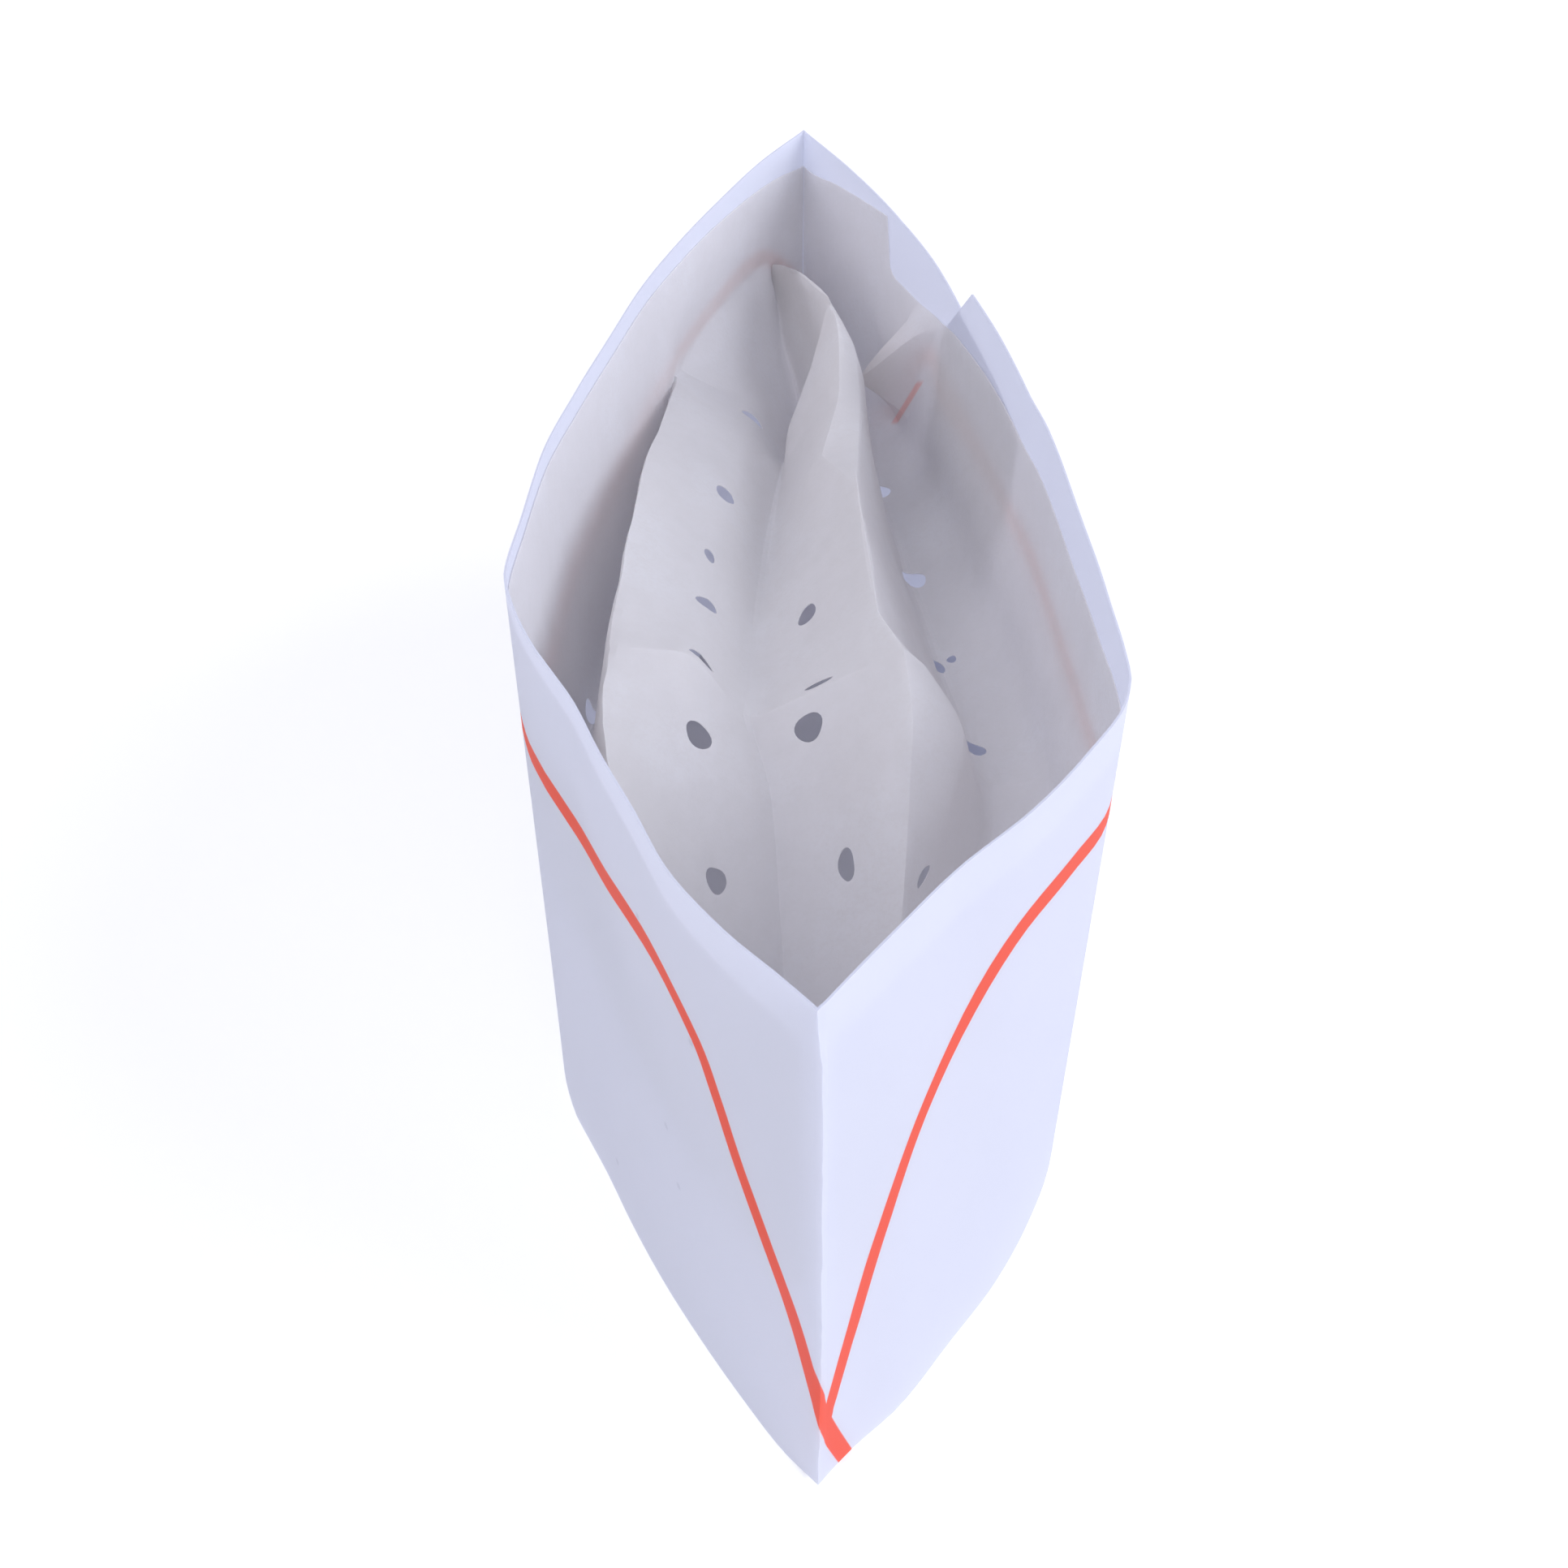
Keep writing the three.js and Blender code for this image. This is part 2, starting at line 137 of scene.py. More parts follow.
# The crown's folds from the left wall to the right one: the wall that a fold keeps to, if any, the
# number of strips between it and the next fold, how softly it is bent in front of the cross crease
# and behind it, and its places. A fold that keeps to a wall gives how far in from it it hangs, and
# any other its place from the centre plane. A row that ends in 1 is a corner.
FOLDS = [Fold(name, side, strips, front, back, [Place(*row) for row in rows])
         for name, side, strips, front, back, rows in (
    ("left seam", -1, 12, 0, 0, (
        (3, 0, 96), (12, 0, 97), (60, 0, 100), (94, 0, 101.3), (110, 0, 101.5), (140, 0, 100.6),
        (216, 0, 100), (250, 0, 98), (259.5, 0, 96.5))),
    ("left hang", -1, 16, 8, 8, (
        (3, 0.1, 82), (12, 0.2, 78), (60, 1.5, 76), (94, 2.4, 76), (110, 2.5, 76), (150, 2.5, 78),
        (190, 1.2, 82), (205, 0.8, 89), (220, 0.3, 92), (259.5, 0, 90))),
    ("left trough", -1, 20, 7, 7, (
        (3, 0.3, 60), (12, 0.8, 47), (30, 1.5, 45), (60, 4, 49), (78, 6, 52), (94, 7, 53),
        (130, 7, 54.5), (160, 6, 60), (180, 3.6, 66), (190, 2.2, 71), (198, 1, 76), (206, 0.1, 81),
        (220, 0, 84.5), (260.6, 0, 84))),
    ("left ridge", -1, 10, 1.2, 1.2, (
        (3, 0, 46), (12, 4, 46), (28, 5.6, 54), (42, 4.9, 66), (55, 4.1, 81), (64, 4.7, 88),
        (78, 9.1, 89.5), (94, 14.8, 90, 1), (112, 14, 89.5), (131, 12.9, 89), (150, 10.1, 87.6),
        (167, 7.4, 85), (185, 4.8, 81.5), (197, 2.3, 79), (206, 0.1, 77, 1), (212, 0, 79),
        (223, 0, 80.5), (236, 0, 80), (252, 0, 81), (260.6, 0, 81))),
    ("left slope", 0, 10, 5, 2.5, (
        (3, 0, 46), (12, -1.5, 45), (40, -9, 50), (57, -13.5, 61), (66, -14.5, 67.5),
        (83, -16.4, 81), (94, -17.9, 89, 1), (104, -17, 85), (117, -16.1, 82), (134, -16.2, 80.5),
        (157, -14.2, 78), (199, -9.2, 70), (225, -8, 67), (236, -7.4, 69), (246, -5.6, 76),
        (252, -9, 79.5), (260.6, -9, 79.5))),
    ("valley", 0, 7, 1, 5, (
        (3, 0.3, 45), (12, 0, 43), (40, -2, 43), (52, -2.8, 45), (60, -3.4, 50), (82, -5.3, 66),
        (94, -9, 75, 1), (100, -8.8, 74.3), (123, -7.9, 72), (150, -6.6, 67), (184, -3.6, 65),
        (200, -1.5, 57), (212, 0.5, 53), (225, 1, 53), (232, -0.5, 58), (240, -3.4, 64),
        (246, -4.9, 71), (252, -9, 79), (260.6, -9, 79))),
    ("lip", 0, 12, 5, 1.5, (
        (3, 0.6, 45), (12, 1.2, 43.5), (40, 2, 45), (60, 3.5, 55), (82, 3, 70.5),
        (94, 0.3, 80.5, 1), (104, -1.5, 78.5), (123, -2.8, 76.3), (150, -2.4, 72.3),
        (184, -2.8, 68, 1), (192, -2.7, 70), (200, -0.1, 75), (206, 2.4, 80), (213, 5, 86.5, 1),
        (220, 4.2, 76), (228, 2.4, 70), (240, -2, 71), (246, -3.8, 74.5), (252, -9, 78.5),
        (260.6, -9, 78.5))),
    ("facet", 0, 5, 0.8, 0.6, (
        (3, 0.8, 45), (12, 2, 44.2), (40, 9, 48.8), (60, 12, 62.3), (82, 12.9, 81.4), (94, 11.6, 87.3, 1),
        (104, 9, 87.5), (126, 8, 86.2), (146, 9.6, 87.8, 1), (163, 3.8, 83.4, 1), (181, 7.4, 87.6),
        (196, 7.6, 89), (205, 7.2, 89.2), (213, 5.9, 88.4, 1), (219, 4.9, 84.5), (231, 0.5, 83.5),
        (246, -3.4, 78), (252, -9, 78.2), (260.6, -9, 78))),
    ("crest", 0, 6, 0.8, 0.8, (
        (3, 0.9, 45), (12, 2.6, 44.5), (30, 10, 47), (45, 13.5, 54), (60, 15.2, 65),
        (67, 15.9, 70.5), (76, 16.6, 78), (81, 17, 84), (94, 16, 90, 1), (104, 12.3, 90.3, 1),
        (126, 11, 89.2), (148, 9.9, 88, 1), (160, 10.5, 86), (178, 11.1, 85.6), (193, 10.8, 86.5),
        (205, 8.9, 87.6), (218, 5.7, 88, 1), (231, 0.8, 86), (246, -3, 80.6), (252, -9, 78, 1),
        (260.6, -9, 77))),
    ("shoulder", 0, 20, 1.5, 2, (
        (3, 1.2, 45), (12, 3.6, 44), (30, 12, 46), (45, 16, 53), (58, 17.5, 59), (67, 19.2, 65.5),
        (76.5, 23.3, 73.5), (85, 25.6, 79.2), (94, 19.7, 86, 1), (104, 14.5, 85.5), (126, 12.6, 84),
        (149, 11.6, 82), (191, 12.4, 81.5), (218, 7.5, 82), (231, 3.2, 79), (246, -1, 72),
        (252, -9, 68), (260.6, -9, 64))),
    ("right trough", 0, 8, 4, 4, (
        (3, 1.5, 46), (12, 5, 45.5), (25, 12, 45), (40, 19, 47), (60, 25, 50), (75, 28, 53),
        (88, 30.5, 58), (94, 30.4, 60.5, 1), (109, 28.5, 58), (140, 24, 55), (170, 19.5, 54),
        (200, 15, 54), (215, 14.5, 54), (232, 12, 54), (246, 4, 46), (252, 1.3, 46),
        (260.6, 1, 46))),
    ("right hang", 1, 12, 6, 6, (
        (3, 0.3, 52), (12, 0.5, 60), (25, 1, 56), (60, 3, 55), (80, 4, 58), (94, 5, 62, 1),
        (110, 5, 60), (140, 5, 59), (178, 4.6, 58), (200, 3, 57), (217, 2, 57), (230, 1.5, 59),
        (260.6, 0, 56))),
    ("right tuck", 1, 6, 4, 3, (
        (3, 0.1, 80), (60, 0.8, 78), (94, 1.5, 78), (140, 1.5, 76), (178, 1.4, 76),
        (196, 0.9, 82), (203, 0.5, 87, 1), (207, 0.8, 80.5), (211, 0.9, 73), (215, 1, 61, 1),
        (218, 1.5, 58, 1), (226, 1.2, 66), (240, 0.8, 72), (260.6, 0, 72))),
    ("right flap", 1, 5, 1, 1, (
        (3, 0, 90), (60, 0.3, 88), (94, 0.5, 88), (140, 0.5, 86.5), (178, 0.5, 86),
        (196, 0.3, 87.2), (203, 0.4, 88.2, 1), (208, 1.8, 84.8), (212, 4.2, 80),
        (215, 11.5, 70, 1), (218, 5, 64, 1), (226, 2, 72), (240, 1, 82), (260.6, 0, 86))),
    ("right seam", 1, 0, 0, 0, (
        (3, 0, 96), (70, 0, 97), (94, 0, 95.2), (130, 0, 94.2), (155, 0, 94), (174, 0, 93.2),
        (192, 0, 91.8), (205, 0, 89.2), (218, 0, 87), (226.5, 0, 87), (229, 0, 88.5, 1),
        (231, 0, 98.8, 1), (250, 0, 97), (256, 0.7, 96.5), (260.6, 0, 96.3))),
)]

# Air holes: the fold on their left, how far across to the next fold, how far back, their size across
# the pleats and along them, and how far they are turned to the left, in degrees.
Vent = namedtuple("Vent", "fold across y width length turn", defaults=(0,))
VENTS = [Vent(*row) for row in (
    ("left hang", 0.8, 88, 4.8, 4.8),
    ("left hang", 0.8, 117.5, 4.8, 4.8),
    ("left hang", 0.8, 147, 4.8, 4.8),
    ("left slope", 0.05, 65, 4.6, 4.8),
    ("left slope", 0.0, 83, 5.2, 4.2),
    ("left slope", 0.15, 96.4, 6.4, 2),
    ("left slope", 0.0, 118, 4.4, 3.6),
    ("left slope", 0.0, 134.5, 2.4, 4),
    ("left slope", 0.0, 158.5, 4.8, 4.6),
    ("left slope", 0.0, 200.5, 5.4, 3),
    ("lip", 0.35, 70, 3.6, 5.2, -25),
    ("valley", 0.95, 90, 5.2, 4.6),
    ("lip", 0.2, 95.4, 5.2, 1.3),
    ("lip", 0.3, 117.5, 4.4, 5),
    ("crest", 0.9, 66.5, 1.5, 4.8),
    ("right trough", 0.05, 106, 4.8, 4.4),
    ("right trough", 0.02, 132.5, 2.4, 4.2),
    ("right trough", 0.26, 136, 1.7, 2.4),
    ("right trough", 0.15, 163.5, 4.8, 4.6),
    ("right trough", 0.1, 195.5, 4.6, 4.8),
)]

# The printed line on the flat strip, an arch that starts at the front fold and is repeated: distance
# along the strip from that fold, and height. Where one arch ends the next begins, as a fork.
Ink = namedtuple("Ink", "along height")
ARCH = [Ink(*row) for row in (
    (-7.2, -2), (-1.6, 14.6), (0.4, 22.2), (5.2, 36.6), (12, 49.4), (17.8, 60), (22.2, 69),
    (27, 76.5), (36, 81.1), (50, 80.7), (61, 79.4), (72, 78.2), (88, 78.4), (104, 77.2), (149.7, 79),
    (210.5, 81), (237, 82.6), (249.5, 83.6), (260.5, 83.2), (267.5, 80.2), (275.8, 73.2),
    (288.2, 60.8), (296.6, 46.3), (302.5, 31.2), (307.7, 17.5), (308.7, 13.5), (303.3, -2))]
PRINT_REPEAT = 310.5
THIN_LINE = 2.9
THICK_LINE = 3.8

# Small grey specks in the paper, on the same flat strip, and a red one on its back
SPECKS = [Ink(*row) for row in ((46.3, 83.5), (28.3, 74.5), (40.2, 45), (65, 10), (36.9, 34.5))]
FLECK = Ink(160.7, 38.5)


def sample(rows, column, y):
    """Smooth value of a column at y, with a corner at each row that is marked sharp."""
    def rise(k):
        return (getattr(rows[k + 1], column) - getattr(rows[k], column)) / (rows[k + 1].y - rows[k].y)

    def slope(k, ahead):
        if k == 0 or (rows[k].sharp and ahead):
            return rise(k)
        if k == last or rows[k].sharp:
            return rise(k - 1)
        before, after = rise(k - 1), rise(k)
        return 0 if before * after <= 0 else 2 * before * after / (before + after)

    last = len(rows) - 1
    y = min(max(y, rows[0].y), rows[last].y)
    i = min(last - 1, bisect.bisect_right([row.y for row in rows], y) - 1)
    span = rows[i + 1].y - rows[i].y
    t = (y - rows[i].y) / span
    start = getattr(rows[i], column) * (1 + 2 * t) + span * t * slope(i, True)
    end = getattr(rows[i + 1], column) * (3 - 2 * t) - span * (1 - t) * slope(i + 1, False)
    return start * (1 - t) ** 2 + end * t ** 2


def smooth(low, high, value):
    """0 below low, 1 above high and an even curve between."""
    t = min(max((value - low) / (high - low), 0), 1)
    return t * t * (3 - 2 * t)


def wall_x(side, y, z):
    """Outer face of a wall, side -1 left and 1 right."""
    name = "left" if side < 0 else "right"
    foot = sample(WALLS, name + "_foot", y)
    return foot + (sample(WALLS, name + "_top", y) - foot) * z / HEIGHT


def inside_x(side, y, z, depth):
    """A face that lies the given depth inside a wall, measured square to it."""
    near = 0.5
    slope = (wall_x(side, y + near, z) - wall_x(side, y - near, z)) / (2 * near)
    return wall_x(side, y, z) - side * depth * math.hypot(1, slope)


def tuck_in(y):
    """How far the inner layer of the overlap lies inside the outer one."""
    inwards = smooth(TUCK_START, TUCK_START + TUCK_LENGTH, y)
    back = smooth(INNER_END, INNER_END + TUCK_LENGTH, y)
    return (PAPER + GAP) * (inwards - back)


def crown_depth(side, y):
    """How far inside a wall the middle of the tissue lies where it is glued."""
    return PAPER + GAP + TISSUE / 2 + (tuck_in(y) if side > 0 else 0)


def world(x, y, z):
    """A point of the frame from millimetres, with y measured back from the front fold."""
    return Vector((x * MM, (y - LENGTH / 2) * MM, z * MM))


def wall_lengths(side):
    """Distance along a wall from the front fold, at each millimetre back."""
    total = [0.0]
    for y in range(1, round(LENGTH) + 1):
        step = wall_x(side, y, HEIGHT / 2) - wall_x(side, y - 1, HEIGHT / 2)
        total.append(total[-1] + math.hypot(1, step))
    return total


def along_wall(lengths, distance):
    """How far back a point lies that is a distance along a wall."""
    i = min(max(bisect.bisect_right(lengths, distance) - 1, 0), len(lengths) - 2)
    return i + (distance - lengths[i]) / (lengths[i + 1] - lengths[i])


LEFT_LENGTHS = wall_lengths(-1)
RIGHT_LENGTHS = wall_lengths(1)
BACK_FOLD = LEFT_LENGTHS[-1]
STRIP_START = -RIGHT_LENGTHS[INNER_END]
STRIP_END = BACK_FOLD + RIGHT_LENGTHS[-1] - RIGHT_LENGTHS[OUTER_END]


def ragged(height):
    """How far the worn front fold strays sideways at a height."""
    bulge = FOLD_BULGE * smooth(4, 26, height) * (1 - smooth(92, 103, height))
    wave = noise.noise(Vector((3.7, 1.3, height / 9)))
    nicks = noise.noise(Vector((8.1, 2.9, height / 2.2)))
    return bulge + FOLD_WAVE * wave + FOLD_NICKS * nicks


def fold_up(along, height):
    """Place on the standing band of a point of the flat strip."""
    if along < 0:
        y = along_wall(RIGHT_LENGTHS, -along)
        x = inside_x(1, y, height, tuck_in(y))
    elif along <= BACK_FOLD:
        y = along_wall(LEFT_LENGTHS, along)
        x = wall_x(-1, y, height)
    else:
        y = along_wall(RIGHT_LENGTHS, RIGHT_LENGTHS[-1] - (along - BACK_FOLD))
        x = wall_x(1, y, height)
    worn = 1 - smooth(0.3, 1.6, abs(along + 0.5))
    return world(x + ragged(height) * worn, y, height)


def select_by(mesh, test):
    """Selects the vertices, edges and faces whose every vertex passes the test, in edit mode."""
    bpy.ops.mesh.select_all(action="DESELECT")
    bpy.ops.object.mode_set(mode="OBJECT")
    chosen = [test(vertex.co) for vertex in mesh.vertices]
    mesh.vertices.foreach_set("select", chosen)
    for part in (*mesh.edges, *mesh.polygons):
        part.select = all(chosen[k] for k in part.vertices)
    bpy.ops.object.mode_set(mode="EDIT")


def alone(piece):
    """Makes a piece the only selected one."""
    bpy.ops.object.select_all(action="DESELECT")
    piece.select_set(True)
    bpy.context.view_layer.objects.active = piece


def modified(piece, kind, **settings):
    """Adds a modifier and applies it."""
    alone(piece)
    bpy.ops.object.modifier_add(type=kind)
    modifier = piece.modifiers[-1]
    for key, value in settings.items():
        setattr(modifier, key, value)
    bpy.ops.object.modifier_apply(modifier=modifier.name)


def curved(rows, parts=6):
    """Points along a smooth curve through the rows."""
    points = []
    for i in range(len(rows) - 1):
        before = Vector(rows[max(i - 1, 0)])
        start, end = Vector(rows[i]), Vector(rows[i + 1])
        after = Vector(rows[min(i + 2, len(rows) - 1)])
        for k in range(parts):
            t = k / parts
            pull = (end - before) * (t * (1 - t) ** 2) / 2 - (after - start) * (t * t * (1 - t)) / 2
            points.append(start.lerp(end, t * t * (3 - 2 * t)) + pull)
    points.append(Vector(rows[-1]))
    return [Ink(*point) for point in points]


def ink_offset(arch, starts, along, height):
    """Distance from the printed arches with these starts, counted in half widths of the line."""
    best = None
    for start in starts:
        for a, b in zip(arch, arch[1:]):
            step = Vector((b.along - a.along, b.height - a.height))
            away = Vector((along - start - a.along, height - a.height))
            t = min(max(away.dot(step) / step.length_squared, 0), 1)
            gap = (away - step * t).length
            if best is None or gap < abs(best[0]):
                reach = a.along + step.x * t
                best = (math.copysign(gap, step.x * away.y - step.y * away.x), reach)
    from_fork = min(abs(best[1]), abs(PRINT_REPEAT - best[1]))
    width = THIN_LINE + (THICK_LINE - THIN_LINE) * smooth(12, 60, from_fork)
    return best[0] / (width / 2)


def band_strip():
    """The band as it is cut, a flat upright strip along X: its ends trimmed and its folds scored."""
    upright = (-math.pi / 2, 0, 0)
    bpy.ops.mesh.primitive_grid_add(
        x_subdivisions=STRIP_COLUMNS, y_subdivisions=STRIP_ROWS, size=1, rotation=upright)
    strip = bpy.context.object
    strip.name = "folded_paper_band"
    length = STRIP_END - STRIP_START
    strip.scale = (length * MM, HEIGHT * MM, 1)
    strip.location = ((STRIP_START + length / 2) * MM, 0, HEIGHT / 2 * MM)
    bpy.ops.object.transform_apply(location=True, rotation=True, scale=True)
    bpy.ops.object.mode_set(mode="EDIT")
    for fold in (0, BACK_FOLD):
        for beside in SCORES:
            bpy.ops.mesh.select_all(action="SELECT")
            bpy.ops.mesh.bisect(plane_co=((fold + beside) * MM, 0, 0), plane_no=(1, 0, 0))
    corner, chamfer = -RIGHT_LENGTHS[INNER_CORNER], -RIGHT_LENGTHS[INNER_CHAMFER]
    for x, z, to_x, to_z in (
            (corner, HEIGHT, chamfer, INNER_CHAMFER_HEIGHT),
            (chamfer, INNER_CHAMFER_HEIGHT, STRIP_START, INNER_END_HEIGHT)):
        select_by(strip.data, lambda co: co.x < (corner + 5) * MM)
        bpy.ops.mesh.bisect(
            plane_co=(x * MM, 0, z * MM), plane_no=(to_z - z, 0, x - to_x), clear_outer=True)
    select_by(strip.data, lambda co: co.x > (BACK_FOLD - 0.1) * MM)
    bpy.ops.mesh.bisect(
        plane_co=(BACK_FOLD * MM, 0, HEIGHT * MM), plane_no=(OUTER_DROP, 0, 1), clear_outer=True)
    bpy.ops.object.mode_set(mode="OBJECT")
    return strip


def ink_map(strip):
    """Two maps on the flat strip: its own places, and its distances from the printed arches."""
    mesh = strip.data
    flat = mesh.uv_layers[0]
    flat.name = "flat"
    ink = mesh.uv_layers.new(name="ink")
    arch = curved(ARCH)
    offsets = []
    for vertex in mesh.vertices:
        along, height = vertex.co.x / MM, vertex.co.z / MM
        own = ink_offset(arch, (0,), along, height)
        others = ink_offset(arch, (-PRINT_REPEAT, PRINT_REPEAT), along, height)
        offsets.append((own, others))
    for loop in mesh.loops:
        co = mesh.vertices[loop.vertex_index].co
        flat.data[loop.index].uv = (co.x, co.z)
        ink.data[loop.index].uv = offsets[loop.vertex_index]


def make_band(print_side, back_side):
    """The band: the strip is cut flat, printed, folded up and given its thickness."""
    strip = band_strip()
    ink_map(strip)
    for vertex in strip.data.vertices:
        vertex.co = fold_up(vertex.co.x / MM, vertex.co.z / MM)
    strip.data.materials.append(print_side)
    strip.data.materials.append(back_side)
    modified(
        strip, "SOLIDIFY", thickness=PAPER * MM, offset=-1, use_quality_normals=True,
        material_offset=1)
    alone(strip)
    bpy.ops.object.shade_smooth_by_angle(angle=math.radians(BAND_SMOOTH))
    return strip


def fold_point(fold, y):
    """Place of one fold of the crown at a distance y back from the front fold."""
    z = sample(fold.rows, "z", y)
    x = sample(fold.rows, "x", y)
    if fold.side:
        x = inside_x(fold.side, y, z, crown_depth(fold.side, y) + x)
    else:
        x = max(x, inside_x(-1, y, z, crown_depth(-1, y)))
    return world(x, y, z)


def crown_stations():
    """Distances back at which the crown is cut into sections, with one at every corner."""
    corners = {row.y for fold in FOLDS for row in fold.rows if row.sharp}
    corners = sorted(corners | {CROWN_FRONT, CROWN_BACK})
    stations = [CROWN_FRONT]
    for start, end in zip(corners, corners[1:]):
        count = math.ceil((end - start) / CROWN_STEP)
        stations += [start + (end - start) * k / count for k in range(1, count + 1)]
    return stations


def bent(corner, towards, away, distance, radius):
    """A point near a softly bent corner, at a distance from it on the side that it goes towards."""
    radius = min(radius * MM, (towards - corner).length / 2, (away - corner).length / 2)
    if distance >= radius:
        return None
    near = corner + (towards - corner).normalized() * radius
    far = corner + (away - corner).normalized() * radius
    t = 0.5 + 0.5 * distance / radius
    return far * (1 - t) ** 2 + corner * (2 * t * (1 - t)) + near * t ** 2


def fold_radius(fold, y):
    """How softly a fold of the crown is bent at a distance y back."""
    behind = smooth(CROSS_CREASE - CREASE_REACH, CROSS_CREASE + CREASE_REACH, y)
    return fold.front_round + (fold.back_round - fold.front_round) * behind


def crown_section(y):
    """One section across the crown, from seam to seam, with its soft folds rounded."""
    points = [fold_point(fold, y) for fold in FOLDS]
    last = len(FOLDS) - 2
    section = [points[0]]
    for i, fold in enumerate(FOLDS[:-1]):
        start, end = points[i], points[i + 1]
        length = (end - start).length
        for k in range(0 if i else 1, fold.strips + (i == last)):
            along = length * k / fold.strips
            point = None
            if i:
                radius = fold_radius(fold, y)
                point = bent(start, end, points[i - 1], along, radius) if radius else None
            if point is None and i < last:
                radius = fold_radius(FOLDS[i + 1], y)
                point = bent(end, start, points[i + 2], length - along, radius) if radius else None
            section.append(point or start.lerp(end, k / fold.strips))
    return section


def crumple(mesh):
    """Soft dents all over the crown, fading towards the walls that it is glued to."""
    shifts = []
    for vertex in mesh.vertices:
        x, y, z = vertex.co.x / MM, vertex.co.y / MM + LENGTH / 2, vertex.co.z / MM
        room = min(x - wall_x(-1, y, z), wall_x(1, y, z) - x)
        wide = noise.noise(vertex.co / (WIDE_DENT * MM))
        narrow = noise.noise(vertex.co / (NARROW_DENT * MM) + Vector((9, 4, 2)))
        height = WIDE_DENT_HEIGHT * wide + NARROW_DENT_HEIGHT * narrow
        shifts.append(vertex.normal * (height * smooth(1.5, 7, room) * MM))
    for vertex, shift in zip(mesh.vertices, shifts):
        vertex.co += shift


def make_punches():
    """One mesh of all the punches that cut the crown's air holes."""
    names = [fold.name for fold in FOLDS]
    punches = []
    for number, vent in enumerate(VENTS):
        left = names.index(vent.fold)

        def place(y):
            return fold_point(FOLDS[left], y).lerp(fold_point(FOLDS[left + 1], y), vent.across)

        before = max(left - (vent.across == 0), 0)
        across = (fold_point(FOLDS[left + 1], vent.y) - fold_point(FOLDS[before], vent.y)).normalized()
        back = place(vent.y + 1) - place(vent.y - 1)
        normal = across.cross(back).normalized()
        turn = Matrix((across, normal.cross(across), normal)).transposed()
        turn = turn @ Matrix.Rotation(math.radians(vent.turn), 3, "Z")
        bpy.ops.mesh.primitive_cylinder_add(vertices=PUNCH_SIDES, radius=0.5, depth=PUNCH_DEPTH * MM)
        punch = bpy.context.object
        for vertex in punch.data.vertices:
            angle = math.atan2(vertex.co.y, vertex.co.x)
            uneven = 1 + 0.07 * math.sin(2 * angle + 2.3 * number)
            uneven += 0.06 * math.sin(3 * angle + 1.7 * number)
            vertex.co.x *= vent.width * uneven * MM
            vertex.co.y *= vent.length * uneven * MM
        punch.rotation_euler = turn.to_euler()
        punch.location = place(vent.y)
        bpy.ops.object.transform_apply(location=True, rotation=True, scale=True)
        punches.append(punch)
    alone(punches[0])
    for punch in punches:
        punch.select_set(True)
    bpy.ops.object.join()
    return bpy.context.object


def make_crown(tissue):
    """The crown: a thin sheet laid through its folds, crumpled, and pierced."""
    sections = [crown_section(y) for y in crown_stations()]
    columns = len(sections[0])
    faces = []
    for i in range(len(sections) - 1):
        for j in range(columns - 1):
            corner = i * columns + j
            faces.append((corner, corner + 1, corner + columns + 1, corner + columns))
    mesh = bpy.data.meshes.new("pierced_tissue_crown")
    mesh.from_pydata([point for section in sections for point in section], [], faces)
    crumple(mesh)
    crown = bpy.data.objects.new("pierced_tissue_crown", mesh)
    bpy.context.scene.collection.objects.link(crown)
    mesh.materials.append(tissue)
    modified(crown, "SOLIDIFY", thickness=TISSUE * MM, offset=0, use_quality_normals=True)
    punches = make_punches()
    modified(crown, "BOOLEAN", operation="DIFFERENCE", solver="EXACT", object=punches)
    bpy.data.objects.remove(punches)
    alone(crown)
    bpy.ops.object.shade_smooth_by_angle(angle=math.radians(CROWN_SMOOTH))
    return crown


class Value:
    """A socket of a material's nodes. Sums on it add Math nodes."""

    def __init__(self, maker, socket):
        self.maker = maker
        self.socket = socket

    def math(self, operation, *others):
        return self.maker.node("ShaderNodeMath", {"operation": operation}, {
            i: value for i, value in enumerate((self, *others))})

    def __add__(self, other):
        return self.math("ADD", other)

    __radd__ = __add__

    def __sub__(self, other):
        return self.math("SUBTRACT", other)

    def __rsub__(self, other):
        return self.math("MULTIPLY", -1).math("ADD", other)

    def __mul__(self, other):
        return self.math("MULTIPLY", other)

    __rmul__ = __mul__

    def smaller(self, other):
        return self.math("MINIMUM", other)

    def size(self):
        return self.math("ABSOLUTE")

    def between(self, low, high):
        """0 at low, 1 at high, an even curve between."""
        return self.maker.node("ShaderNodeMapRange", {"interpolation_type": "SMOOTHSTEP"}, {
            "Value": self, "From Min": low, "From Max": high})


